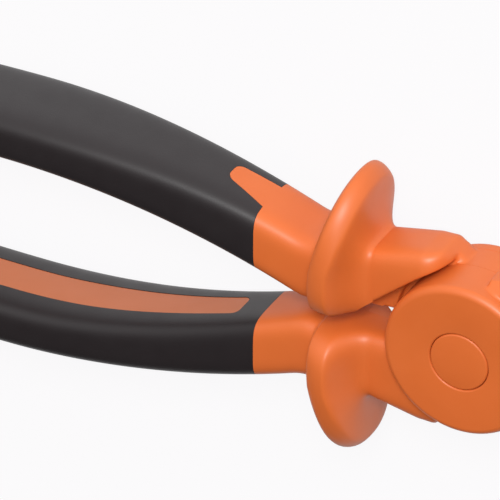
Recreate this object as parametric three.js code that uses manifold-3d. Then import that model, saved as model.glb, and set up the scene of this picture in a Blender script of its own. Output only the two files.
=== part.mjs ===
// Fully insulated cable-cutting pliers with a lap joint, in millimetres.
// The two levers are the same set of pieces: the upper set is the lower set turned half a turn about X.
// The lower set holds the lower handle, the front lap and the upper blade.
// Inside the pliers group the pivot is at the origin, +X runs to the jaws and +Z out of the front cap.

import * as THREE from 'three';
import { mergeVertices } from 'three/addons/utils/BufferGeometryUtils.js';
import Module from 'manifold-3d';

const wasm = await Module();
wasm.setup();

// Clearances
const FIT = 0.3;
const LAP_GAP = 0.3;
const PIVOT_PLAY = 0.08;
const SHOULDER_GAP = 1.2;

// Joint
const CAP_RADIUS = 17.4;
const CAP_HEIGHT = 3.2;
const CAP_RIM = 1.6;
const CAP_SPIGOT_WALL = 2.4;
const PLUG_RADIUS = 6.5;
const PLUG_THICKNESS = 1.3;
const PLUG_LEDGE_WIDTH = 1.6;
const PLUG_LEDGE_HEIGHT = 0.6;
const DRUM_WALL = 3.1;
const STEEL_HALF = 4.8;
const JACKET_WALL = 2;
const BOLT_RADIUS = 4;
const BOLT_HEAD_RADIUS = 6.8;
const BOLT_HEAD_HEIGHT = 1.8;
const SOCKET_ACROSS_FLATS = 5;
const SOCKET_DEPTH = 1.2;
const BUSH_WALL = 1.4;
const WASHER_RADIUS = 8.4;
const WASHER_THICKNESS = 0.9;
const NUT_ACROSS_FLATS = 12;

// Neck between the joint and the guard
const NECK_INNER = 3.4;
const NECK_WIDTH = 14.8;
const SHOULDER_WIDTH = 17.2;
const SHOULDER_X = 7.4;
const SHOULDER_STEP = 4.4;
const SHOULDER_NOSE = 3.4;
const NECK_SQUARENESS = 5;

// Hand guard: a plate that is widest at its waist and leans towards the jaws beyond it
const GUARD_X = 25.7;
const GUARD_COVE = 4.4;
const GUARD_RIM = 5.5;
const GUARD_RAMP = 3.4;
const GUARD_INNER = 1.9;
const GUARD_WAIST = 13.2;
const GUARD_OUTER = 33.3;
const GUARD_DEPTH = 29.6;
const GUARD_RAKE = 0.23;
const GUARD_INNER_SQUARENESS = 2.8;
const GUARD_OUTER_SQUARENESS = 2.15;
const GUARD_EDGE_SHARE = 0.82;
const GUARD_CREST_SHARE = 0.7;
const GUARD_COVE_POWER = 3.2;
const GUARD_RAMP_POWER = 1.6;

// Handle
const SLEEVE_LENGTH = 13.4;
const GRIP_LENGTH = 123.4;
const BELLY_FROM_GRIP_START = 59.8;
const BELLY_CENTRE = 23;
const HANDLE_BOW = 182;
const TAIL_BOW = 600;
const SLEEVE_WIDTH = 14.7;
const SLEEVE_DEPTH = 16.3;
const SLEEVE_SQUARENESS = 4.5;
const GRIP_WIDTH = 11.2;
const GRIP_DEPTH = 22.9;
const GRIP_SQUARENESS = 4.1;
const SWELL_LENGTH = 68;
const GRIP_WALL = 2.4;
const LAYER_WALL = 1;
const TANG_DEPTH = 8;
const TANG_SQUARENESS = 8;
const TANG_SHORT_OF_END = 22;
const END_DOME = 7;
const END_DOME_TURN = THREE.MathUtils.degToRad(85);

// Tongue on the outer face and inlay on the inner face
const TONGUE_LENGTH = 10;
const TONGUE_WIDTH = 8.4;
const TONGUE_SLANT = 3.4;
const INLAY_WIDTH = 9.2;
const INLAY_FRONT_WIDTH = 7;
const INLAY_TAPER = 40;
const INLAY_FROM_GRIP_START = 6.4;
const INLAY_SHORT_OF_END = 16;
const INLAY_DEPTH = 1.1;
const STRIP_CORNER = 1.6;

// Jaws
const JAW_REACH = 50;
const BLADE_THICKNESS = 4.6;
const BEVEL_WIDTH = 5;
const EDGE_RADIUS = 45;
const EDGE_MIDDLE_X = 31;
const EDGE_RISE = 1;
const SPINE_CENTRE_X = 14;
const SPINE_CENTRE_Y = -6;
const SPINE_PAST_TIP = 4;
const SPINE_HEIGHT = 23;
const SPINE_CHAMFER = 1.2;
const JAW_COVER = 2;
const COVER_FROM_EDGE = 7;
const COVER_SHORT_OF_TIP = 6;

// Facets
const ROUND_STEPS = 36;
const RIM_STEPS = 3;
const NOSE_STEPS = 4;
const RING_POINTS = 16;
const TANG_POINTS = 8;
const GUARD_STEPS = 4;
const HANDLE_STEPS = 12;
const TANG_STEPS = 8;
const DOME_STEPS = 4;
const STRIP_STEPS = 8;
const JAW_STEPS = 12;

// Worked out from the sizes above
const lapFace = LAP_GAP / 2;
const jacketHalf = STEEL_HALF + JACKET_WALL;
const capTop = jacketHalf + CAP_HEIGHT;
const lapRadius = CAP_RADIUS - DRUM_WALL;
const boltPocket = WASHER_RADIUS + FIT;
const pocketTop = capTop - PLUG_THICKNESS - PLUG_LEDGE_HEIGHT;
const spigotRadius = boltPocket + CAP_SPIGOT_WALL;
const bushRadius = BOLT_RADIUS + BUSH_WALL;
const bushHalf = STEEL_HALF + PIVOT_PLAY;
const washerTop = bushHalf + WASHER_THICKNESS;
const headTop = washerTop + BOLT_HEAD_HEIGHT;
const seamX = -(GUARD_X - GUARD_COVE);
const guardFront = -GUARD_X;
const guardBack = guardFront - GUARD_RIM;
const sleeveStart = guardBack - GUARD_RAMP;
const gripStart = sleeveStart - SLEEVE_LENGTH;
const handleEnd = gripStart - GRIP_LENGTH;
const bellyX = gripStart - BELLY_FROM_GRIP_START;
const neckCentre = NECK_INNER + NECK_WIDTH / 2;
const noseStart = -SHOULDER_X - SHOULDER_NOSE / 2;
const spineLength = JAW_REACH + SPINE_PAST_TIP - SPINE_CENTRE_X;

const { lerp, smoothstep } = THREE.MathUtils;

// Solids from three.js geometry, and back
function toSolid(geometry) {
  const bare = geometry.clone();
  bare.deleteAttribute('normal');
  bare.deleteAttribute('uv');
  const merged = mergeVertices(bare, 1e-4);
  return new wasm.Manifold(new wasm.Mesh({
    numProp: 3,
    vertProperties: new Float32Array(merged.attributes.position.array),
    triVerts: new Uint32Array(merged.index.array),
  }));
}

function toGeometry(solid) {
  const { vertProperties, triVerts } = solid.getMesh();
  const geometry = new THREE.BufferGeometry();
  geometry.setAttribute('position', new THREE.BufferAttribute(vertProperties, 3));
  geometry.setIndex(new THREE.BufferAttribute(triVerts, 1));
  geometry.computeVertexNormals();
  return geometry;
}

// Skin over rings of points that all have one length and run anticlockwise seen from +X; the ends are flat.
function loft(stations) {
  const forward = stations[0][0].x < stations[stations.length - 1][0].x;
  const rings = forward ? stations : [...stations].reverse();
  const count = rings[0].length;
  const last = (rings.length - 1) * count;
  const index = [];
  for (let ring = 0; ring < last; ring += count) {
    for (let i = 0; i < count; i += 1) {
      const next = (i + 1) % count;
      index.push(ring + i, ring + next, ring + count + i);
      index.push(ring + next, ring + count + next, ring + count + i);
    }
  }
  for (let i = 1; i < count - 1; i += 1) {
    index.push(0, i + 1, i);
    index.push(last, last + i, last + i + 1);
  }
  const geometry = new THREE.BufferGeometry().setFromPoints(rings.flat());
  geometry.setIndex(index);
  return toSolid(geometry);
}

function disc(radius, low, high) {
  const geometry = new THREE.CylinderGeometry(radius, radius, high - low, ROUND_STEPS);
  geometry.rotateX(Math.PI / 2);
  geometry.translate(0, 0, (low + high) / 2);
  return toSolid(geometry);
}

function hexPrism(acrossFlats, low, high) {
  const corner = acrossFlats / Math.sqrt(3);
  const geometry = new THREE.CylinderGeometry(corner, corner, high - low, 6);
  geometry.rotateX(Math.PI / 2);
  geometry.translate(0, 0, (low + high) / 2);
  return toSolid(geometry);
}

// Profile of radius and height turned about Z
function turned(profile) {
  const geometry = new THREE.LatheGeometry(profile.map(([r, z]) => new THREE.Vector2(r, z)), ROUND_STEPS);
  geometry.rotateX(Math.PI / 2);
  return toSolid(geometry);
}

// Radius of a faceted hole that clears a shaft by the pivot's play
function bore(radius) {
  return (radius + PIVOT_PLAY) / Math.cos(Math.PI / ROUND_STEPS);
}

function evenly(from, to, steps) {
  return Array.from({ length: steps + 1 }, (_, i) => from + ((to - from) * i) / steps);
}

// Rounded rectangle across the handle: half width along Y, half depth along Z
function ring(x, centre, halfWidth, halfDepth, squareness, points = RING_POINTS) {
  const power = 2 / squareness;
  return Array.from({ length: points }, (_, i) => {
    const angle = (2 * Math.PI * (i + 0.5)) / points;
    const y = Math.sign(Math.cos(angle)) * Math.abs(Math.cos(angle)) ** power;
    const z = Math.sign(Math.sin(angle)) * Math.abs(Math.sin(angle)) ** power;
    return new THREE.Vector3(x, -centre + halfWidth * y, halfDepth * z);
  });
}

// Distance of the handle's middle line from the X axis: an arc that runs into the straight neck
function handleCentre(x) {
  const bow = x > bellyX ? HANDLE_BOW : TAIL_BOW;
  const arc = BELLY_CENTRE - (x - bellyX) ** 2 / (2 * bow);
  const along = smoothstep(guardBack - x, 0, GUARD_RAMP + SLEEVE_LENGTH / 2);
  return lerp(neckCentre, arc, along);
}

function handleRing(x, inset, points = RING_POINTS) {
  const swell = smoothstep(sleeveStart - x, 0, SWELL_LENGTH);
  const width = lerp(SLEEVE_WIDTH, GRIP_WIDTH, swell);
  const depth = lerp(SLEEVE_DEPTH, GRIP_DEPTH, swell);
  const squareness = lerp(SLEEVE_SQUARENESS, GRIP_SQUARENESS, swell);
  return ring(x, handleCentre(x), width / 2 - inset, depth / 2 - inset, squareness, points);
}

// Handle skin from one end of the grip to the other with a domed tail
function gripSkin(inset, from) {
  const domeStart = handleEnd + END_DOME;
  const rings = evenly(from, domeStart, HANDLE_STEPS).map((x) => handleRing(x, inset));
  const lastRing = rings[rings.length - 1];
  const middle = -handleCentre(domeStart);
  for (const angle of evenly(0, END_DOME_TURN, DOME_STEPS).slice(1)) {
    const reach = domeStart - (END_DOME - inset) * Math.sin(angle);
    rings.push(lastRing.map((p) => new THREE.Vector3(
      reach,
      middle + (p.y - middle) * Math.cos(angle),
      p.z * Math.cos(angle),
    )));
  }
  return loft(rings);
}

// Block on one side of the handle's middle line; the span is its lowest and highest Z at a station.
function strip(side, tail, front, span) {
  const stations = [
    ...evenly(tail, tail + STRIP_CORNER, DOME_STEPS),
    ...evenly(tail + STRIP_CORNER, front - STRIP_CORNER, STRIP_STEPS).slice(1, -1),
    ...evenly(front - STRIP_CORNER, front, DOME_STEPS),
  ];
  return loft(stations.map((x) => {
    const middle = -handleCentre(x);
    const outside = middle + side * GUARD_OUTER;
    const inner = Math.min(middle, outside);
    const outer = Math.max(middle, outside);
    const [low, high] = span(x);
    const corners = [[inner, low], [outer, low], [outer, high], [inner, high]];
    return corners.map(([y, z]) => new THREE.Vector3(x, y, z));
  }));
}

// How far a round corner draws in the edge of a strip, at a distance from the strip's end
function cornerInset(distance) {
  const short = STRIP_CORNER - Math.min(distance, STRIP_CORNER);
  return STRIP_CORNER - Math.sqrt(STRIP_CORNER ** 2 - short ** 2);
}

// Tongue: one edge runs along the handle and the other slants in to the tip.
function tongueBlock(grow) {
  const tip = gripStart - TONGUE_LENGTH - grow;
  const half = TONGUE_WIDTH / 2 + grow;
  return strip(-1, tip, gripStart + FIT, (x) => {
    const inset = cornerInset(x - tip);
    const slant = (TONGUE_SLANT * (gripStart - x)) / TONGUE_LENGTH;
    return [inset + slant - half, half - inset];
  });
}

function inlayBlock(grow) {
  const tail = handleEnd + INLAY_SHORT_OF_END - grow;
  const front = gripStart - INLAY_FROM_GRIP_START + grow;
  return strip(1, tail, front, (x) => {
    const width = lerp(INLAY_FRONT_WIDTH, INLAY_WIDTH, smoothstep(front - x, 0, INLAY_TAPER));
    const inset = cornerInset(Math.min(x - tail, front - x));
    return [inset - width / 2 - grow, width / 2 + grow - inset];
  });
}

// Cutting edge and spine of the upper blade
function edgeY(x) {
  return EDGE_RISE - (x - EDGE_MIDDLE_X) ** 2 / (2 * EDGE_RADIUS);
}

function spineY(x) {
  return SPINE_CENTRE_Y + SPINE_HEIGHT * Math.sqrt(1 - ((x - SPINE_CENTRE_X) / spineLength) ** 2);
}

function blade(grow) {
  const low = lapFace - grow;
  const high = lapFace + BLADE_THICKNESS + grow;
  return loft(evenly(BOLT_RADIUS, JAW_REACH + grow, JAW_STEPS).map((x) => {
    const at = Math.min(x, JAW_REACH);
    const edge = edgeY(at) - grow;
    const spine = spineY(at) + grow;
    const bevel = Math.min(edge + BEVEL_WIDTH, spine - SPINE_CHAMFER);
    const corners = [
      [edge, low],
      [spine, low],
      [spine, high - SPINE_CHAMFER],
      [spine - SPINE_CHAMFER / 2, high],
      [bevel, high],
    ];
    return corners.map(([y, z]) => new THREE.Vector3(x, y, z));
  }));
}

function jawCover() {
  const end = JAW_REACH - COVER_SHORT_OF_TIP;
  return loft(evenly(BOLT_RADIUS, end, JAW_STEPS).map((x) => {
    const inner = edgeY(x) + COVER_FROM_EDGE;
    const outer = spineY(x) + JAW_COVER;
    const corners = [
      [inner, FIT],
      [outer, FIT],
      [outer, jacketHalf - JAW_COVER],
      [outer - JAW_COVER, jacketHalf],
      [inner, jacketHalf],
    ];
    return corners.map(([y, z]) => new THREE.Vector3(x, y, z));
  }));
}

// Space swept by the other lever's drum and cap, behind the lap face
function otherDrum(gap, lap) {
  return disc(CAP_RADIUS + gap, -capTop - FIT, lap);
}

// Steel core: lap disc, neck, tang and blade. A grown copy cuts its seat in the insulation.
function steel(grow) {
  const neck = { half: NECK_WIDTH / 2 - JACKET_WALL + grow, depth: STEEL_HALF + grow };
  const tangEnd = handleEnd + TANG_SHORT_OF_END - grow;
  const rings = [
    ring(-BOLT_RADIUS, neckCentre, neck.half, neck.depth, TANG_SQUARENESS, TANG_POINTS),
    ring(guardBack, neckCentre, neck.half, neck.depth, TANG_SQUARENESS, TANG_POINTS),
  ];
  const tangHalf = GRIP_WIDTH / 2 - GRIP_WALL - FIT - LAYER_WALL + grow;
  for (const x of evenly(gripStart, tangEnd, TANG_STEPS)) {
    rings.push(ring(x, handleCentre(x), tangHalf, TANG_DEPTH / 2 + grow, TANG_SQUARENESS, TANG_POINTS));
  }
  const cleared = loft(rings).subtract(otherDrum(SHOULDER_GAP + JACKET_WALL - grow, lapFace - grow));
  return cleared.add(disc(lapRadius + grow, lapFace - grow, STEEL_HALF + grow)).add(blade(grow));
}

function lever() {
  return steel(0)
    .subtract(disc(bore(bushRadius), -jacketHalf, jacketHalf))
    .subtract(disc(WASHER_RADIUS + FIT, 0, WASHER_THICKNESS / 2 + PIVOT_PLAY));
}

// Ring of the neck, which reaches back from the jacket's front face to a depth behind the lap
function neckRing(x, width, back = jacketHalf) {
  const half = (jacketHalf + back) / 2;
  const section = ring(x, NECK_INNER + width / 2, width / 2, half, NECK_SQUARENESS);
  return section.map((point) => point.setZ(point.z + jacketHalf - half));
}

// Head jacket: drum round the lap, the back of the jaw, and a neck whose nose rounds off to the lap
function headJacket() {
  const nose = evenly(0, Math.PI / 2, NOSE_STEPS).map((angle) => {
    const x = noseStart + SHOULDER_NOSE * Math.sin(angle);
    return neckRing(x, SHOULDER_WIDTH - Math.max(SHOULDER_X + x, 0), jacketHalf * Math.cos(angle));
  });
  const neck = loft([
    neckRing(seamX, NECK_WIDTH),
    ...nose,
    neckRing(SHOULDER_STEP - SHOULDER_X, SHOULDER_WIDTH - SHOULDER_STEP, 0),
  ]);
  return neck
    .subtract(otherDrum(SHOULDER_GAP, FIT))
    .add(disc(CAP_RADIUS, FIT, jacketHalf))
    .add(jawCover())
    .subtract(steel(FIT))
    .subtract(disc(spigotRadius + FIT, 0, capTop));
}

// Outline of the guard's flange: the inner side is squarer than the outer one.
function flangeRing(x) {
  const half = GUARD_DEPTH / 2;
  const inner = ring(x, GUARD_WAIST, GUARD_WAIST - GUARD_INNER, half, GUARD_INNER_SQUARENESS);
  const outer = ring(x, GUARD_WAIST, GUARD_OUTER - GUARD_WAIST, half, GUARD_OUTER_SQUARENESS);
  const middle = (GUARD_WAIST + GUARD_OUTER) / 2;
  return inner.map((point, i) => {
    const flange = point.y > -GUARD_WAIST ? point : outer[i];
    flange.x += GUARD_RAKE * (Math.max(-flange.y, GUARD_WAIST) - middle);
    return flange;
  });
}

// Ring of the guard: share 0 is the neck or the sleeve that it grows from, share 1 the full flange.
function guardRing(x, share) {
  const flange = flangeRing(x);
  const root = x > guardFront ? neckRing(x, NECK_WIDTH) : handleRing(x, 0);
  return root.map((point, i) => point.lerp(flange[i], share));
}

// Share of the flange over the rim, which is round and has its crest nearer to the grip
function rimShare(along) {
  const side = along < GUARD_CREST_SHARE ? GUARD_CREST_SHARE : 1 - GUARD_CREST_SHARE;
  return lerp(1, GUARD_EDGE_SHARE, ((along - GUARD_CREST_SHARE) / side) ** 2);
}

// Cove up from the neck, rim, and ramp down to the sleeve
function guardRings() {
  const front = seamX - FIT;
  const cove = evenly(0, 1, GUARD_STEPS).map((along) => {
    const share = GUARD_EDGE_SHARE * along ** GUARD_COVE_POWER;
    return guardRing(lerp(front, guardFront, along), share);
  });
  const rim = evenly(0, 1, GUARD_STEPS).slice(1, -1).map((along) => (
    guardRing(lerp(guardFront, guardBack, along), rimShare(along))
  ));
  const ramp = evenly(0, 1, GUARD_STEPS).map((along) => {
    const share = GUARD_EDGE_SHARE * (1 - along) ** GUARD_RAMP_POWER;
    return guardRing(lerp(guardBack, sleeveStart, along), share);
  });
  return [...cove, ...rim, ...ramp];
}

// Handle sleeve: guard, bare sleeve, tongue and the layer under the grip
function handleSleeve() {
  const outer = [
    ...guardRings(),
    handleRing((sleeveStart + gripStart) / 2, 0),
    handleRing(gripStart, 0),
    handleRing(gripStart - FIT / 2, GRIP_WALL),
  ];
  const layer = gripSkin(GRIP_WALL, gripStart);
  const tongue = tongueBlock(0).intersect(gripSkin(0, gripStart + FIT));
  return loft(outer).add(layer).add(tongue).subtract(steel(FIT));
}

function grip() {
  const pocket = inlayBlock(FIT).subtract(gripSkin(INLAY_DEPTH + FIT, sleeveStart));
  return gripSkin(0, gripStart - FIT)
    .subtract(gripSkin(GRIP_WALL - FIT, sleeveStart))
    .subtract(tongueBlock(FIT))
    .subtract(pocket);
}

function gripInlay() {
  const skin = gripSkin(0, sleeveStart).subtract(gripSkin(INLAY_DEPTH, sleeveStart));
  return skin.intersect(inlayBlock(0));
}

// Joint cap: rounded rim, a spigot that drops into the jacket and a ledge for the plug
function jointCap() {
  const arc = evenly(0, Math.PI / 2, RIM_STEPS).map((angle) => [
    CAP_RADIUS - CAP_RIM + CAP_RIM * Math.cos(angle),
    capTop - CAP_RIM + CAP_RIM * Math.sin(angle),
  ]);
  const seatRadius = PLUG_RADIUS + FIT;
  const ledgeRadius = PLUG_RADIUS - PLUG_LEDGE_WIDTH;
  const underside = jacketHalf + FIT;
  const spigotEnd = STEEL_HALF + FIT;
  return turned([
    [boltPocket, spigotEnd],
    [spigotRadius, spigotEnd],
    [spigotRadius, underside],
    [CAP_RADIUS, underside],
    ...arc,
    [seatRadius, capTop],
    [seatRadius, capTop - PLUG_THICKNESS],
    [ledgeRadius, capTop - PLUG_THICKNESS],
    [ledgeRadius, pocketTop],
    [boltPocket, pocketTop],
    [boltPocket, spigotEnd],
  ]);
}

function capPlug() {
  return disc(PLUG_RADIUS, capTop - PLUG_THICKNESS, capTop);
}

// Fastener: the bush is longer than the two laps by the play, so the tight bolt leaves the levers free.
function pivotBolt() {
  return disc(BOLT_RADIUS, -headTop, washerTop + BOLT_HEAD_HEIGHT / 2)
    .add(disc(BOLT_HEAD_RADIUS, washerTop, headTop))
    .subtract(hexPrism(SOCKET_ACROSS_FLATS, headTop - SOCKET_DEPTH, headTop + FIT));
}

function pierced(solid, shaftRadius) {
  return solid.subtract(disc(bore(shaftRadius), -capTop, capTop));
}

function pivotBush() {
  return pierced(disc(bushRadius, -bushHalf, bushHalf), BOLT_RADIUS);
}

function washer(low, shaftRadius) {
  return pierced(disc(WASHER_RADIUS, low, low + WASHER_THICKNESS), shaftRadius);
}

function pivotNut() {
  return pierced(hexPrism(NUT_ACROSS_FLATS, -headTop, -washerTop), BOLT_RADIUS);
}

// Materials
const orange = new THREE.MeshStandardMaterial({ color: 0xe0682c, roughness: 0.45, metalness: 0 });
const black = new THREE.MeshStandardMaterial({ color: 0x2a2628, roughness: 0.75, metalness: 0 });
const inlayOrange = new THREE.MeshStandardMaterial({ color: 0xdc7444, roughness: 0.6, metalness: 0 });
const toolSteel = new THREE.MeshStandardMaterial({ color: 0x9a9c9f, roughness: 0.35, metalness: 1 });
const bronze = new THREE.MeshStandardMaterial({ color: 0xa8803f, roughness: 0.4, metalness: 1 });
const boltSteel = new THREE.MeshStandardMaterial({ color: 0x6d6f72, roughness: 0.4, metalness: 1 });

function piece(name, solid, material) {
  const mesh = new THREE.Mesh(toGeometry(solid), material);
  mesh.name = name;
  return mesh;
}

function leverSet(side, face) {
  const set = new THREE.Group();
  set.add(
    piece(`${side}_lever`, lever(), toolSteel),
    piece(`${side}_head_jacket`, headJacket(), orange),
    piece(`${side}_handle_sleeve`, handleSleeve(), orange),
    piece(`${side}_grip`, grip(), black),
    piece(`${side}_grip_inlay`, gripInlay(), inlayOrange),
    piece(`${face}_joint_cap`, jointCap(), orange),
    piece(`${face}_cap_plug`, capPlug(), orange),
  );
  return set;
}

const lowerSet = leverSet('lower', 'front');
const upperSet = leverSet('upper', 'rear');
upperSet.rotation.x = Math.PI;

const fasteners = new THREE.Group();
fasteners.add(
  piece('pivot_bolt', pivotBolt(), boltSteel),
  piece('pivot_bush', pivotBush(), bronze),
  piece('lap_washer', washer(-WASHER_THICKNESS / 2, bushRadius), bronze),
  piece('bolt_washer', washer(bushHalf, BOLT_RADIUS), boltSteel),
  piece('nut_washer', washer(-washerTop, BOLT_RADIUS), boltSteel),
  piece('pivot_nut', pivotNut(), boltSteel),
);

// The part's frame has its origin in the middle of the rear cap's flat face.
const pliers = new THREE.Group();
pliers.add(lowerSet, upperSet, fasteners);
pliers.position.z = capTop;

const part = new THREE.Group();
part.add(pliers);
part.updateMatrixWorld(true);

export default part;
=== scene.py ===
"""Looks of the insulated cable-cutting pliers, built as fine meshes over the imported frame."""

import math

import bmesh
import bpy
from mathutils import Matrix, Vector


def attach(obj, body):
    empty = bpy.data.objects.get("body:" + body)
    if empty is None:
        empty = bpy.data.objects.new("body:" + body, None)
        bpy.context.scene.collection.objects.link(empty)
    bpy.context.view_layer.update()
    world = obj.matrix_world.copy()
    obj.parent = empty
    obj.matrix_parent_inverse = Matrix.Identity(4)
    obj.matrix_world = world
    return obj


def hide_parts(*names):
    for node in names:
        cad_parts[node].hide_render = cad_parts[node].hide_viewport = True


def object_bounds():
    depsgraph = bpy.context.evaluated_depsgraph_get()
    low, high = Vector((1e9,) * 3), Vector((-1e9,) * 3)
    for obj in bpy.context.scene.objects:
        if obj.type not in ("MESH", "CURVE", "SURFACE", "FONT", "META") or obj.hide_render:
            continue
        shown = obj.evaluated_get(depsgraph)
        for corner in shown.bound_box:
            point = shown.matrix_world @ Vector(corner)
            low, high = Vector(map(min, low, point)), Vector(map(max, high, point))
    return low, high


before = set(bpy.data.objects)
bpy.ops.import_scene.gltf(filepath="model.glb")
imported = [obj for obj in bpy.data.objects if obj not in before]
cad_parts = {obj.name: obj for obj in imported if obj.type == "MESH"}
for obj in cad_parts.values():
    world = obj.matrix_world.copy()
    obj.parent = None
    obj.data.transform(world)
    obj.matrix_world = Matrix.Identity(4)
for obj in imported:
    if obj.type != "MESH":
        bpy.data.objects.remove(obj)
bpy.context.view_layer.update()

# Sizes in millimetres, those of the solids with the neck and the guard refined to the photo.
# The pivot is at the origin while a piece is made.
MM = 0.001

# Joint
CAP_RADIUS = 17.4
CAP_TOP = 10
CAP_RIM = 1.6
PLUG_RADIUS = 6.5
PLUG_THICKNESS = 1.3
PLUG_LEDGE = 1.6
PLUG_LIP = 0.4
AXIS_HOLE = 0.02
JACKET_HALF = 6.8
STEEL_HALF = 4.8
LAP_RADIUS = 14.3
LAP_FACE = 0.15
SHOULDER_RADIUS = 18.6
DRUM_RADIUS = 17.37

# Neck
NECK_INNER = 2.4
NECK_WIDTH = 15.8
NECK_SQUARENESS = 5
SHOULDER_WIDTH = 18.2
SHOULDER_X = 7.4
SHOULDER_STEP = 4.4
SHOULDER_NOSE = 3.4
NOSE_RUN_IN = 2
RELIEF_TURN = math.radians(50)
RELIEF_FLOOR = -1.6
SEAM_X = -21.3

# Guard
GUARD_FRONT = -25.7
GUARD_BACK = -31.2
GUARD_INNER = 1.9
GUARD_WAIST = 13.2
GUARD_OUTER = 33.3
GUARD_DEPTH = 29.6
GUARD_RAKE = 0.23
GUARD_INNER_SQUARENESS = 3.6
GUARD_OUTER_SQUARENESS = 2.15
GUARD_EDGE_SHARE = 0.82
GUARD_TIP_CREST = 0.7
GUARD_SIDE_CREST = 0.15
GUARD_TIP_RUN = 0.7
GUARD_COVE_POWER = 3.2
GUARD_RAMP_POWER = 1.6

# Handle
SLEEVE_START = -34.6
GRIP_START = -48
HANDLE_END = -171.4
BELLY_X = -107.8
BELLY_CENTRE = 23
HANDLE_BOW = 182
TAIL_BOW = 600
SLEEVE_WIDTH = 14.7
SLEEVE_DEPTH = 16.3
SLEEVE_SQUARENESS = 4.5
GRIP_WIDTH = 11.2
GRIP_DEPTH = 22.9
GRIP_SQUARENESS = 4.1
SWELL_LENGTH = 68
END_DOME = 7
DOME_TURN = math.radians(86)
TONGUE_LENGTH = 10
TONGUE_WIDTH = 8.4
TONGUE_SLANT = 3.4
INLAY_FRONT = -54.4
INLAY_TAIL = -155.4
INLAY_WIDTH = 9.2
INLAY_FRONT_WIDTH = 7
INLAY_TAPER = 40
STRIP_CORNER = 1.6
INLAY_DEPTH = 1.1
TANG_HALF_WIDTH = 1.9
TANG_HALF_DEPTH = 4
TANG_END = -149.4

# Jaw
JAW_START = 4
JAW_REACH = 50
BLADE_THICKNESS = 4.6
BEVEL_WIDTH = 5
EDGE_RADIUS = 45
EDGE_MIDDLE_X = 31
EDGE_RISE = 1
SPINE_CENTRE_X = 14
SPINE_CENTRE_Y = -6
SPINE_LENGTH = 40
SPINE_HEIGHT = 23
SPINE_CHAMFER = 1.2
JAW_COVER = 2
COVER_FROM_EDGE = 7
COVER_END = 44
EDGE_EASE = 0.12

# Seams
HAIRLINE = 0.06
LAP_SEAM = 0.03
BURIED = 1.2

# Fineness
RING_POINTS = 72
ROUND_STEPS = 160
GUARD_STEPS = 60
GUARD_SOFTENING = 10
SLEEVE_STEPS = 40
SKIN_STEPS = 150
DOME_STEPS = 14
STRIP_STEPS = 80
CORNER_STEPS = 10
NOSE_STEPS = 16
COVER_STEPS = 60
BLADE_STEPS = 80
TANG_STEPS = 40
CAP_STEPS = 14
LIP_STEPS = 5
EASE_STEPS = 2
EASE_FROM = math.radians(40)
SHARP_FROM = math.radians(32)
MOULD_VOXEL = 0.3
MOULD_ROUNDS = 12
MOULD_FACTOR = 0.5

# Looks: pairs are the two ends of a range, colours are linear, scales are per metre and heights in metres
INSULATION_COLOURS = (0.63, 0.128, 0.022), (0.67, 0.142, 0.027)
INLAY_COLOURS = (0.56, 0.155, 0.055), (0.60, 0.17, 0.065)
RUBBER_COLOURS = (0.0105, 0.0065, 0.0075), (0.0125, 0.008, 0.009)
STEEL_COLOURS = (0.40, 0.41, 0.42), (0.56, 0.57, 0.58)
BRONZE_COLOURS = (0.36, 0.22, 0.08), (0.48, 0.30, 0.11)
FASTENER_COLOURS = (0.10, 0.10, 0.11), (0.18, 0.18, 0.19)
INSULATION_ROUGHNESS = 0.4, 0.52
INLAY_ROUGHNESS = 0.42, 0.55
RUBBER_ROUGHNESS = 0.42, 0.56
STEEL_ROUGHNESS = 0.22, 0.4
BRONZE_ROUGHNESS = 0.3, 0.45
FASTENER_ROUGHNESS = 0.3, 0.5
INSULATION_GRAIN = 0.25
INLAY_GRAIN = 0.3
RUBBER_GRAIN = 0.5
PLASTIC_SPECULAR = 0.55
RUBBER_SHEEN = 0.08
RUBBER_SHEEN_ROUGHNESS = 0.4
DRIFT_SCALE = 60
DRIFT_DETAIL = 4
GLOSS_SCALE = 220
GLOSS_DETAIL = 3
GRAIN_SCALE = 3200
GRAIN_DETAIL = 2
GRAIN_HEIGHT = 0.00004
SCRATCH_SCALE = 900
SCRATCH_DETAIL = 5
SCRATCH_STRENGTH = 0.3
SCRATCH_HEIGHT = 0.00003
GROUND_ACROSS = (1, 0.05, 1)
DRAWN_ALONG_AXIS = (1, 1, 0.1)
BLEND_FROM = 0.3
BLEND_TO = 0.7

# Stage, light and camera: directions point away from the tool, the target is in the picture's middle
FLOOR_SIZE = 6
FLOOR_COLOUR = (0.62, 0.616, 0.62, 1)
FLOOR_ROUGHNESS = 0.9
FLOOR_WHITE = (1, 0.99, 1, 1)
FLOOR_WHITE_SHARE = 0.92
SKY_OFFSET = (0, 0.5, 0)
SKY_SCALE = (0, 0.5, 0)
SKY_DARK = (0.08, 0.08, 0.08, 1)
SKY_DARK_AT = 0.3
SKY_LIGHT = (1, 1, 1, 1)
SKY_LIGHT_AT = 0.9
KEY_DIRECTION = Vector((0.32, 0.6, 0.73))
KEY_DISTANCE = 1.2
KEY_SIZE = 0.4
KEY_POWER = 12.6
VIEW_DIRECTION = Vector((0.3895, 0.5378, 0.7477))
VIEW_RIGHT = Vector((0.8863, 0.0019, -0.4631))
TARGET = Vector((-46.3, 15.24, 23.16)) * MM
VIEW_DISTANCE = 1.261
VIEW_WIDTH = 102.46 * MM
SENSOR = 36


def lerp(a, b, share):
    return a + (b - a) * share


def smoothstep(value, low, high):
    share = min(max((value - low) / (high - low), 0), 1)
    return share * share * (3 - 2 * share)


def evenly(start, end, steps):
    return [lerp(start, end, i / steps) for i in range(steps + 1)]


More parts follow.
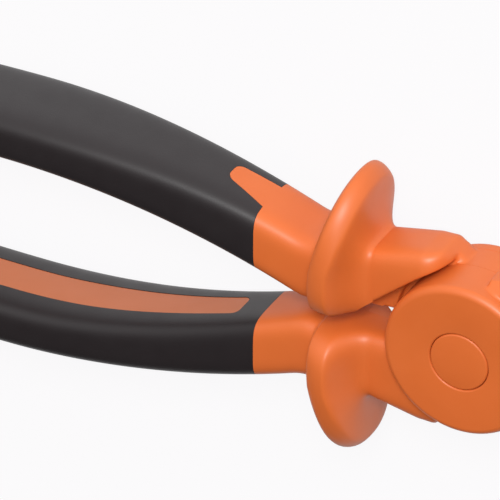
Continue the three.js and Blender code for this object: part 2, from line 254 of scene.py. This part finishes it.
# Meshes
def new_piece(name, points, faces):
    mesh = bpy.data.meshes.new(name)
    mesh.from_pydata(points, [], faces)
    body = bmesh.new()
    body.from_mesh(mesh)
    bmesh.ops.recalc_face_normals(body, faces=body.faces)
    body.to_mesh(mesh)
    body.free()
    piece = bpy.data.objects.new(name, mesh)
    bpy.context.scene.collection.objects.link(piece)
    return piece


def loft(name, rings):
    """Skin over rings of one length, closed by flat ends."""
    count = len(rings[0])
    points = [point for ring in rings for point in ring]
    faces = []
    for start in range(0, count * (len(rings) - 1), count):
        for i in range(count):
            after = (i + 1) % count
            faces.append((start + i, start + after, start + count + after, start + count + i))
    last = count * (len(rings) - 1)
    faces.append(tuple(range(count)))
    faces.append(tuple(last + i for i in range(count)))
    return new_piece(name, points, faces)


def turned(name, profile):
    """Closed profile of radius and height turned about Z."""
    rings = []
    for step in range(ROUND_STEPS):
        angle = 2 * math.pi * step / ROUND_STEPS
        rings.append([(r * math.cos(angle), r * math.sin(angle), z) for r, z in profile])
    count = len(profile)
    faces = []
    for step in range(ROUND_STEPS):
        start = step * count
        following = (step + 1) % ROUND_STEPS * count
        for i in range(count):
            after = (i + 1) % count
            faces.append((start + i, start + after, following + after, following + i))
    return new_piece(name, [point for ring in rings for point in ring], faces)


def disc(name, radius, low, high):
    rings = []
    for z in (low, high):
        angles = [2 * math.pi * i / ROUND_STEPS for i in range(ROUND_STEPS)]
        rings.append([(radius * math.cos(a), radius * math.sin(a), z) for a in angles])
    return loft(name, rings)


def settle(piece):
    """Applies the modifiers of a piece to its mesh."""
    evaluated = piece.evaluated_get(bpy.context.evaluated_depsgraph_get())
    mesh = bpy.data.meshes.new_from_object(evaluated)
    piece.modifiers.clear()
    piece.data = mesh
    return piece


def combine(piece, tool, operation):
    modifier = piece.modifiers.new("combine", "BOOLEAN")
    modifier.operation = operation
    modifier.object = tool
    modifier.solver = "EXACT"
    settle(piece)
    bpy.data.objects.remove(tool)
    return piece


def mould(piece):
    """Melts sharp edges into the soft radii of a moulding."""
    remesh = piece.modifiers.new("remesh", "REMESH")
    remesh.mode = "VOXEL"
    remesh.voxel_size = MOULD_VOXEL
    soften = piece.modifiers.new("soften", "SMOOTH")
    soften.factor = MOULD_FACTOR
    soften.iterations = MOULD_ROUNDS
    return settle(piece)


# Handle, neck and guard sections
def section(x, centre, half_width, half_depth, squareness):
    """Ring between an ellipse and a rectangle, at a station on the tool's long axis."""
    power = 2 / squareness
    points = []
    for i in range(RING_POINTS):
        angle = 2 * math.pi * (i + 0.5) / RING_POINTS
        y = math.copysign(abs(math.cos(angle)) ** power, math.cos(angle))
        z = math.copysign(abs(math.sin(angle)) ** power, math.sin(angle))
        points.append((x, half_width * y - centre, half_depth * z))
    return points


def handle_centre(x):
    """How far the middle of the bowed handle is from the tool's long axis."""
    bow = HANDLE_BOW if x > BELLY_X else TAIL_BOW
    arc = BELLY_CENTRE - (x - BELLY_X) ** 2 / (2 * bow)
    run = GUARD_BACK - (SLEEVE_START + GRIP_START) / 2
    return lerp(NECK_INNER + NECK_WIDTH / 2, arc, smoothstep(GUARD_BACK - x, 0, run))


def handle_section(x, inset=0):
    swell = smoothstep(SLEEVE_START - x, 0, SWELL_LENGTH)
    half_width = lerp(SLEEVE_WIDTH, GRIP_WIDTH, swell) / 2
    half_depth = lerp(SLEEVE_DEPTH, GRIP_DEPTH, swell) / 2
    squareness = lerp(SLEEVE_SQUARENESS, GRIP_SQUARENESS, swell)
    return section(x, handle_centre(x), half_width - inset, half_depth - inset, squareness)


def neck_section(x, width, back=JACKET_HALF, inset=0):
    """Neck from the jacket's front face to a depth behind the lap."""
    half = (JACKET_HALF + back) / 2
    points = section(x, NECK_INNER + width / 2, width / 2 - inset, half - inset, NECK_SQUARENESS)
    return [(x, y, z + JACKET_HALF - half) for x, y, z in points]


def flange_section(x):
    """Full flange, squarer on its inner side, round on its outer side and raked."""
    half = GUARD_DEPTH / 2
    inner = section(x, GUARD_WAIST, GUARD_WAIST - GUARD_INNER, half, GUARD_INNER_SQUARENESS)
    outer = section(x, GUARD_WAIST, GUARD_OUTER - GUARD_WAIST, half, GUARD_OUTER_SQUARENESS)
    middle = (GUARD_WAIST + GUARD_OUTER) / 2
    points = []
    for near, far in zip(inner, outer):
        point = near if near[1] > -GUARD_WAIST else far
        lean = GUARD_RAKE * (max(-point[1], GUARD_WAIST) - middle)
        points.append((point[0] + lean, point[1], point[2]))
    return points


def waist_share(y):
    """How near a point is to the flange's waist, from 0 at its outer tip to 1."""
    past = max(-y - GUARD_WAIST, 0) / (GUARD_OUTER - GUARD_WAIST)
    return 1 - smoothstep(past, 0, GUARD_TIP_RUN)


def guard_section(x, tip, side):
    """Ring of the guard, with its shares of the full flange at the outer tip and at the sides.

    Share 0 is the neck or the sleeve that the guard grows from.
    """
    change = smoothstep(GUARD_FRONT - x, 0, GUARD_FRONT - GUARD_BACK)
    neck = neck_section(x, NECK_WIDTH)
    points = []
    for near, far, full in zip(neck, handle_section(x), flange_section(x)):
        root = Vector(near).lerp(Vector(far), change)
        share = lerp(tip, side, waist_share(full[1]))
        points.append(tuple(root.lerp(Vector(full), share)))
    return points


def guard_profile(crest):
    """Stations and shares over the cove, rim and ramp, with their corners rounded off."""
    line = []
    for along in evenly(0, 1, GUARD_STEPS):
        line.append((lerp(SEAM_X, GUARD_FRONT, along), GUARD_EDGE_SHARE * along ** GUARD_COVE_POWER))
    for along in evenly(0, 1, GUARD_STEPS)[1:-1]:
        line.append((lerp(GUARD_FRONT, GUARD_BACK, along), rim_share(along, crest)))
    for along in evenly(0, 1, GUARD_STEPS):
        share = GUARD_EDGE_SHARE * (1 - along) ** GUARD_RAMP_POWER
        line.append((lerp(GUARD_BACK, SLEEVE_START, along), share))
    for _ in range(GUARD_SOFTENING):
        middle = []
        for before, here, after in zip(line, line[1:], line[2:]):
            middle.append(tuple((a + 2 * b + c) / 4 for a, b, c in zip(before, here, after)))
        line = [line[0]] + middle + [line[-1]]
    return line[::2]


def rim_share(along, crest):
    """Share of the flange over the rim, which is round and has its crest off its middle."""
    side = crest if along < crest else 1 - crest
    return lerp(1, GUARD_EDGE_SHARE, ((along - crest) / side) ** 2)


def handle_skin(name, start, inset=0):
    """Handle from a start to its domed tail."""
    dome = HANDLE_END + END_DOME
    rings = [handle_section(x, inset) for x in evenly(start, dome, SKIN_STEPS)]
    last = rings[-1]
    middle = -handle_centre(dome)
    for turn in evenly(0, DOME_TURN, DOME_STEPS)[1:]:
        x = dome - (END_DOME - inset) * math.sin(turn)
        narrow = math.cos(turn)
        rings.append([(x, middle + (y - middle) * narrow, z * narrow) for _, y, z in last])
    return loft(name, rings)


def strip(name, side, tail, front, span):
    """Block on one side of the handle, to cut a strip out of its skin.

    The span gives the strip's lowest and highest Z at a station.
    """
    turns = [STRIP_CORNER * (1 - math.cos(turn)) for turn in evenly(0, math.pi / 2, CORNER_STEPS)]
    stations = [tail + turn for turn in turns]
    stations += evenly(tail + STRIP_CORNER, front - STRIP_CORNER, STRIP_STEPS)[1:-1]
    stations += [front - turn for turn in reversed(turns)]
    rings = []
    for x in stations:
        middle = -handle_centre(x)
        inner, outer = sorted((middle, middle + side * GUARD_OUTER))
        low, high = span(x)
        rings.append([(x, inner, low), (x, outer, low), (x, outer, high), (x, inner, high)])
    return loft(name, rings)


def corner_inset(distance):
    """How far a round corner draws in the edge of a strip, at a distance from the strip's end."""
    short = STRIP_CORNER - min(max(distance, 0), STRIP_CORNER)
    return STRIP_CORNER - math.sqrt(STRIP_CORNER ** 2 - short ** 2)


def box(name, low, high):
    rings = []
    for x in (low[0], high[0]):
        lower = [(x, low[1], low[2]), (x, high[1], low[2])]
        upper = [(x, high[1], high[2]), (x, low[1], high[2])]
        rings.append(lower + upper)
    return loft(name, rings)


def tongue(grow):
    tip = GRIP_START - TONGUE_LENGTH - grow
    half = TONGUE_WIDTH / 2 + grow

    def span(x):
        inset = corner_inset(x - tip)
        slant = TONGUE_SLANT * (GRIP_START - x) / TONGUE_LENGTH
        return inset + slant - half, half - inset

    return strip("tongue", -1, tip, GRIP_START + STRIP_CORNER, span)


def inlay_strip(grow):
    tail = INLAY_TAIL - grow
    front = INLAY_FRONT + grow

    def span(x):
        width = lerp(INLAY_FRONT_WIDTH, INLAY_WIDTH, smoothstep(front - x, 0, INLAY_TAPER))
        edge = width / 2 + grow - corner_inset(min(x - tail, front - x))
        return -edge, edge

    return strip("grip_inlay", 1, tail, front, span)


def relief():
    """Block that clears the neck's corner along a line that touches the shoulder's circle."""
    away = Vector((math.cos(RELIEF_TURN), math.sin(RELIEF_TURN)))
    along = Vector((-away[1], away[0]))
    rings = []
    for run in (0, 2 * GUARD_OUTER):
        near = along * run - away * SHOULDER_RADIUS
        far = along * run
        corners = [(near, -2 * CAP_TOP), (far, -2 * CAP_TOP), (far, RELIEF_FLOOR), (near, RELIEF_FLOOR)]
        rings.append([(point[0], point[1], z) for point, z in corners])
    return loft("relief", rings)


# Lower half of the tool, piece by piece
def handle_sleeve():
    rings = []
    for (x, tip), (_, side) in zip(guard_profile(GUARD_TIP_CREST), guard_profile(GUARD_SIDE_CREST)):
        rings.append(guard_section(x, tip, side))
    rings[0] = neck_section(SEAM_X, NECK_WIDTH, inset=2 * HAIRLINE)
    tail = GRIP_START - 2 * TONGUE_LENGTH
    rings += [handle_section(x) for x in evenly(SLEEVE_START, tail, SLEEVE_STEPS)[1:]]
    sleeve = loft("handle_sleeve", rings)
    reach = 3 * GUARD_OUTER
    beyond = box("beyond", (tail - reach, -reach, -reach), (GRIP_START, reach, reach))
    combine(sleeve, combine(beyond, tongue(0), "DIFFERENCE"), "DIFFERENCE")
    return combine(sleeve, relief(), "DIFFERENCE")


def grip():
    skin = handle_skin("grip", GRIP_START - HAIRLINE)
    combine(skin, tongue(HAIRLINE), "DIFFERENCE")
    pocket = inlay_strip(0)
    combine(pocket, handle_skin("core", SLEEVE_START, INLAY_DEPTH), "DIFFERENCE")
    return combine(skin, pocket, "DIFFERENCE")


def grip_inlay():
    inlay = inlay_strip(-HAIRLINE)
    combine(inlay, handle_skin("skin", SLEEVE_START, 2 * HAIRLINE), "INTERSECT")
    return combine(inlay, handle_skin("core", SLEEVE_START, INLAY_DEPTH), "DIFFERENCE")


def edge_y(x):
    return EDGE_RISE - (x - EDGE_MIDDLE_X) ** 2 / (2 * EDGE_RADIUS)


def spine_y(x):
    return SPINE_CENTRE_Y + SPINE_HEIGHT * math.sqrt(1 - ((x - SPINE_CENTRE_X) / SPINE_LENGTH) ** 2)


def jaw_cover():
    rings = []
    for x in evenly(JAW_START, COVER_END, COVER_STEPS):
        inner = edge_y(x) + COVER_FROM_EDGE
        outer = spine_y(x) + JAW_COVER
        corners = [
            (inner, 2 * HAIRLINE),
            (outer, 2 * HAIRLINE),
            (outer, JACKET_HALF - JAW_COVER),
            (outer - JAW_COVER, JACKET_HALF),
            (inner, JACKET_HALF),
        ]
        rings.append([(x, y, z) for y, z in corners])
    return loft("jaw_cover", rings)


def head_jacket():
    rings = [neck_section(SEAM_X - BURIED, NECK_WIDTH)]
    nose_start = -SHOULDER_X - SHOULDER_NOSE / 2 - NOSE_RUN_IN
    for turn in evenly(0, math.pi / 2, NOSE_STEPS):
        x = nose_start + (SHOULDER_NOSE + NOSE_RUN_IN) * math.sin(turn)
        width = SHOULDER_WIDTH - max(SHOULDER_X + x, 0)
        rings.append(neck_section(x, width, JACKET_HALF * math.cos(turn)))
    rings.append(neck_section(SHOULDER_STEP - SHOULDER_X, SHOULDER_WIDTH - SHOULDER_STEP, 0))
    jacket = loft("head_jacket", rings)
    combine(jacket, disc("swept", SHOULDER_RADIUS, -2 * CAP_TOP, HAIRLINE), "DIFFERENCE")
    combine(jacket, relief(), "DIFFERENCE")
    combine(jacket, disc("drum", DRUM_RADIUS, -BURIED, JACKET_HALF + BURIED), "UNION")
    combine(jacket, jaw_cover(), "UNION")
    mould(jacket)
    lap = (DRUM_RADIUS + SHOULDER_RADIUS) / 2
    return combine(jacket, disc("lap", lap, -2 * CAP_TOP, LAP_SEAM), "DIFFERENCE")


def lever():
    rings = []
    for x in evenly(JAW_START, JAW_REACH, BLADE_STEPS):
        edge = edge_y(x)
        spine = spine_y(x)
        high = LAP_FACE + BLADE_THICKNESS
        bevel = min(edge + BEVEL_WIDTH, spine - SPINE_CHAMFER)
        corners = [
            (edge, LAP_FACE),
            (spine, LAP_FACE),
            (spine, high - SPINE_CHAMFER),
            (spine - SPINE_CHAMFER / 2, high),
            (bevel, high),
        ]
        rings.append([(x, y, z) for y, z in corners])
    blade = loft("lever", rings)
    combine(blade, disc("lap", LAP_RADIUS, LAP_FACE, STEEL_HALF), "UNION")
    rings = []
    for x in [SEAM_X, GUARD_BACK] + evenly(GRIP_START, TANG_END, TANG_STEPS):
        rings.append(section(x, handle_centre(x), TANG_HALF_WIDTH, TANG_HALF_DEPTH, NECK_SQUARENESS))
    combine(blade, loft("tang", rings), "UNION")
    ease = blade.modifiers.new("ease", "BEVEL")
    ease.width = EDGE_EASE
    ease.segments = EASE_STEPS
    ease.limit_method = "ANGLE"
    ease.angle_limit = EASE_FROM
    return settle(blade)


def joint_cap():
    bore = PLUG_RADIUS - PLUG_LEDGE
    profile = [(bore, JACKET_HALF), (CAP_RADIUS, JACKET_HALF)]
    for turn in evenly(0, math.pi / 2, CAP_STEPS):
        r = CAP_RADIUS - CAP_RIM + CAP_RIM * math.cos(turn)
        profile.append((r, CAP_TOP - CAP_RIM + CAP_RIM * math.sin(turn)))
    seat = PLUG_RADIUS + 2 * HAIRLINE
    for turn in evenly(0, math.pi / 2, LIP_STEPS):
        r = seat + PLUG_LIP - PLUG_LIP * math.sin(turn)
        profile.append((r, CAP_TOP - PLUG_LIP + PLUG_LIP * math.cos(turn)))
    profile.append((seat, CAP_TOP - PLUG_THICKNESS))
    profile.append((bore, CAP_TOP - PLUG_THICKNESS))
    return turned("joint_cap", profile)


def cap_plug():
    under = CAP_TOP - PLUG_THICKNESS + HAIRLINE
    profile = [(AXIS_HOLE, under), (PLUG_RADIUS, under)]
    for turn in evenly(0, math.pi / 2, LIP_STEPS):
        r = PLUG_RADIUS - PLUG_LIP + PLUG_LIP * math.cos(turn)
        profile.append((r, CAP_TOP - PLUG_LIP + PLUG_LIP * math.sin(turn)))
    profile.append((AXIS_HOLE, CAP_TOP))
    return turned("cap_plug", profile)


# Materials
def new_material(name):
    material = bpy.data.materials.new(name)
    material.use_nodes = True
    nodes = material.node_tree.nodes
    return material, nodes, material.node_tree.links, nodes["Principled BSDF"]


def noise(nodes, links, scale, detail):
    place = nodes.new("ShaderNodeTexCoord")
    texture = nodes.new("ShaderNodeTexNoise")
    texture.inputs["Scale"].default_value = scale
    texture.inputs["Detail"].default_value = detail
    links.new(place.outputs["Object"], texture.inputs["Vector"])
    return texture.outputs["Fac"]


def spread(nodes, links, value, low, high):
    """A value of 0 to 1 spread over a range, for a roughness."""
    ramp = nodes.new("ShaderNodeMapRange")
    ramp.inputs["To Min"].default_value = low
    ramp.inputs["To Max"].default_value = high
    links.new(value, ramp.inputs["Value"])
    return ramp.outputs["Result"]


def blend_colours(nodes, links, value, first, second):
    ramp = nodes.new("ShaderNodeValToRGB")
    ramp.color_ramp.elements[0].position = BLEND_FROM
    ramp.color_ramp.elements[0].color = (*first, 1)
    ramp.color_ramp.elements[1].position = BLEND_TO
    ramp.color_ramp.elements[1].color = (*second, 1)
    links.new(value, ramp.inputs["Fac"])
    return ramp.outputs["Color"]


def bump(nodes, links, height, strength, distance):
    node = nodes.new("ShaderNodeBump")
    node.inputs["Strength"].default_value = strength
    node.inputs["Distance"].default_value = distance
    links.new(height, node.inputs["Height"])
    return node.outputs["Normal"]


def plastic(name, colours, rough, grain):
    """Moulded plastic: slow colour drift, uneven gloss and a fine spark-eroded grain."""
    material, nodes, links, shader = new_material(name)
    drift = noise(nodes, links, DRIFT_SCALE, DRIFT_DETAIL)
    links.new(blend_colours(nodes, links, drift, *colours), shader.inputs["Base Color"])
    gloss = noise(nodes, links, GLOSS_SCALE, GLOSS_DETAIL)
    links.new(spread(nodes, links, gloss, *rough), shader.inputs["Roughness"])
    fine = noise(nodes, links, GRAIN_SCALE, GRAIN_DETAIL)
    links.new(bump(nodes, links, fine, grain, GRAIN_HEIGHT), shader.inputs["Normal"])
    shader.inputs["Specular IOR Level"].default_value = PLASTIC_SPECULAR
    return material


def metal(name, colours, rough, stretch):
    """Ground metal: scratches drawn out along one axis."""
    material, nodes, links, shader = new_material(name)
    place = nodes.new("ShaderNodeTexCoord")
    draw = nodes.new("ShaderNodeMapping")
    draw.inputs["Scale"].default_value = stretch
    texture = nodes.new("ShaderNodeTexNoise")
    texture.inputs["Scale"].default_value = SCRATCH_SCALE
    texture.inputs["Detail"].default_value = SCRATCH_DETAIL
    links.new(place.outputs["Object"], draw.inputs["Vector"])
    links.new(draw.outputs["Vector"], texture.inputs["Vector"])
    scratches = texture.outputs["Fac"]
    links.new(blend_colours(nodes, links, scratches, *colours), shader.inputs["Base Color"])
    links.new(spread(nodes, links, scratches, *rough), shader.inputs["Roughness"])
    grooves = bump(nodes, links, scratches, SCRATCH_STRENGTH, SCRATCH_HEIGHT)
    links.new(grooves, shader.inputs["Normal"])
    shader.inputs["Metallic"].default_value = 1
    return material


materials = {}
for slot, colours, rough, grain in (
    ("insulation_plastic", INSULATION_COLOURS, INSULATION_ROUGHNESS, INSULATION_GRAIN),
    ("inlay_plastic", INLAY_COLOURS, INLAY_ROUGHNESS, INLAY_GRAIN),
    ("grip_rubber", RUBBER_COLOURS, RUBBER_ROUGHNESS, RUBBER_GRAIN),
):
    materials[slot] = plastic(slot, colours, rough, grain)
for slot, colours, rough, stretch in (
    ("tool_steel", STEEL_COLOURS, STEEL_ROUGHNESS, GROUND_ACROSS),
    ("bearing_bronze", BRONZE_COLOURS, BRONZE_ROUGHNESS, DRAWN_ALONG_AXIS),
    ("fastener_steel", FASTENER_COLOURS, FASTENER_ROUGHNESS, DRAWN_ALONG_AXIS),
):
    materials[slot] = metal(slot, colours, rough, stretch)
rubber = materials["grip_rubber"].node_tree.nodes["Principled BSDF"]
rubber.inputs["Sheen Weight"].default_value = RUBBER_SHEEN
rubber.inputs["Sheen Roughness"].default_value = RUBBER_SHEEN_ROUGHNESS


# Both halves of the tool
def dress(piece, name, body, slot, turn):
    """Puts a finished mesh in the frame, in the lower half or turned over into the upper one."""
    to_pivot = Matrix.Translation((0, 0, CAP_TOP * MM))
    place = to_pivot @ Matrix.Rotation(turn, 4, "X") @ Matrix.Scale(MM, 4)
    mesh = piece.data.copy()
    mesh.transform(place)
    mesh.polygons.foreach_set("use_smooth", [True] * len(mesh.polygons))
    mesh.set_sharp_from_angle(angle=SHARP_FROM)
    mesh.materials.clear()
    mesh.materials.append(materials[slot])
    shown = bpy.data.objects.new(name + "_look", mesh)
    bpy.context.scene.collection.objects.link(shown)
    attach(shown, body)
    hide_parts(name)


for make, slot in (
    (lever, "tool_steel"),
    (head_jacket, "insulation_plastic"),
    (handle_sleeve, "insulation_plastic"),
    (grip, "grip_rubber"),
    (grip_inlay, "inlay_plastic"),
    (joint_cap, "insulation_plastic"),
    (cap_plug, "insulation_plastic"),
):
    piece = make()
    part = piece.name
    on_joint = part in ("joint_cap", "cap_plug")
    dress(piece, ("front_" if on_joint else "lower_") + part, "lower_half", slot, 0)
    dress(piece, ("rear_" if on_joint else "upper_") + part, "upper_half", slot, math.pi)
    bpy.data.objects.remove(piece)

# Pieces inside the joint, shown as the solids are
for name, slot in (
    ("pivot_bolt", "fastener_steel"),
    ("bolt_washer", "fastener_steel"),
    ("nut_washer", "fastener_steel"),
    ("pivot_nut", "fastener_steel"),
    ("pivot_bush", "bearing_bronze"),
    ("lap_washer", "bearing_bronze"),
):
    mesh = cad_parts[name].data
    mesh.materials.clear()
    mesh.materials.append(materials[slot])

# Stage: a floor under the lowest point, near white to the eye and grey as a source of stray light
floor_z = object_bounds()[0][2]
floor_mesh = bpy.data.meshes.new("floor")
half = FLOOR_SIZE / 2
corners = [(-half, -half), (half, -half), (half, half), (-half, half)]
floor_mesh.from_pydata([(x, y, floor_z) for x, y in corners], [], [(0, 1, 2, 3)])
floor = bpy.data.objects.new("floor", floor_mesh)
bpy.context.scene.collection.objects.link(floor)
floor_material, nodes, links, shader = new_material("floor")
shader.inputs["Base Color"].default_value = FLOOR_COLOUR
shader.inputs["Roughness"].default_value = FLOOR_ROUGHNESS
white = nodes.new("ShaderNodeEmission")
white.inputs["Color"].default_value = FLOOR_WHITE
white.inputs["Strength"].default_value = 1
pale = nodes.new("ShaderNodeMixShader")
pale.inputs["Fac"].default_value = FLOOR_WHITE_SHARE
links.new(shader.outputs["BSDF"], pale.inputs[1])
links.new(white.outputs["Emission"], pale.inputs[2])
rays = nodes.new("ShaderNodeLightPath")
seen = nodes.new("ShaderNodeMath")
seen.operation = "MAXIMUM"
links.new(rays.outputs["Is Camera Ray"], seen.inputs[0])
links.new(rays.outputs["Is Glossy Ray"], seen.inputs[1])
passed = nodes.new("ShaderNodeMath")
passed.operation = "MAXIMUM"
links.new(seen.outputs["Value"], passed.inputs[0])
links.new(rays.outputs["Is Transmission Ray"], passed.inputs[1])
surface = nodes.new("ShaderNodeMixShader")
links.new(passed.outputs["Value"], surface.inputs["Fac"])
links.new(shader.outputs["BSDF"], surface.inputs[1])
links.new(pale.outputs["Shader"], surface.inputs[2])
links.new(surface.outputs["Shader"], nodes["Material Output"].inputs["Surface"])
floor_mesh.materials.append(floor_material)

# Light: a sky that is pale on one side of the tool and dark on the other, and one lamp
world = bpy.data.worlds.new("studio")
bpy.context.scene.world = world
world.use_nodes = True
sky = world.node_tree.nodes["Background"]
sky.inputs["Strength"].default_value = 1
sky_links = world.node_tree.links
sky_place = world.node_tree.nodes.new("ShaderNodeTexCoord")
sky_turn = world.node_tree.nodes.new("ShaderNodeMapping")
sky_turn.inputs["Location"].default_value = SKY_OFFSET
sky_turn.inputs["Scale"].default_value = SKY_SCALE
sky_side = world.node_tree.nodes.new("ShaderNodeSeparateXYZ")
sky_tone = world.node_tree.nodes.new("ShaderNodeValToRGB")
sky_tone.color_ramp.elements[0].position = SKY_DARK_AT
sky_tone.color_ramp.elements[0].color = SKY_DARK
sky_tone.color_ramp.elements[1].position = SKY_LIGHT_AT
sky_tone.color_ramp.elements[1].color = SKY_LIGHT
sky_links.new(sky_place.outputs["Generated"], sky_turn.inputs["Vector"])
sky_links.new(sky_turn.outputs["Vector"], sky_side.inputs["Vector"])
sky_links.new(sky_side.outputs["Y"], sky_tone.inputs["Fac"])
sky_links.new(sky_tone.outputs["Color"], sky.inputs["Color"])

key_light = bpy.data.lights.new("key", "AREA")
key_light.shape = "DISK"
key_light.size = KEY_SIZE
key_light.energy = KEY_POWER
key = bpy.data.objects.new("key", key_light)
key.location = TARGET + KEY_DIRECTION.normalized() * KEY_DISTANCE
key.rotation_euler = KEY_DIRECTION.to_track_quat("Z", "Y").to_euler()
bpy.context.scene.collection.objects.link(key)

# Camera
camera_data = bpy.data.cameras.new("camera")
camera_data.sensor_width = SENSOR
camera_data.lens = SENSOR * VIEW_DISTANCE / VIEW_WIDTH
camera = bpy.data.objects.new("camera", camera_data)
back = VIEW_DIRECTION.normalized()
right = (VIEW_RIGHT - back * VIEW_RIGHT.dot(back)).normalized()
up = back.cross(right)
turn = Matrix((right, up, back)).transposed().to_4x4()
camera.matrix_world = Matrix.Translation(TARGET + back * VIEW_DISTANCE) @ turn
bpy.context.scene.collection.objects.link(camera)
bpy.context.scene.camera = camera

bpy.context.scene.view_settings.view_transform = "Standard"
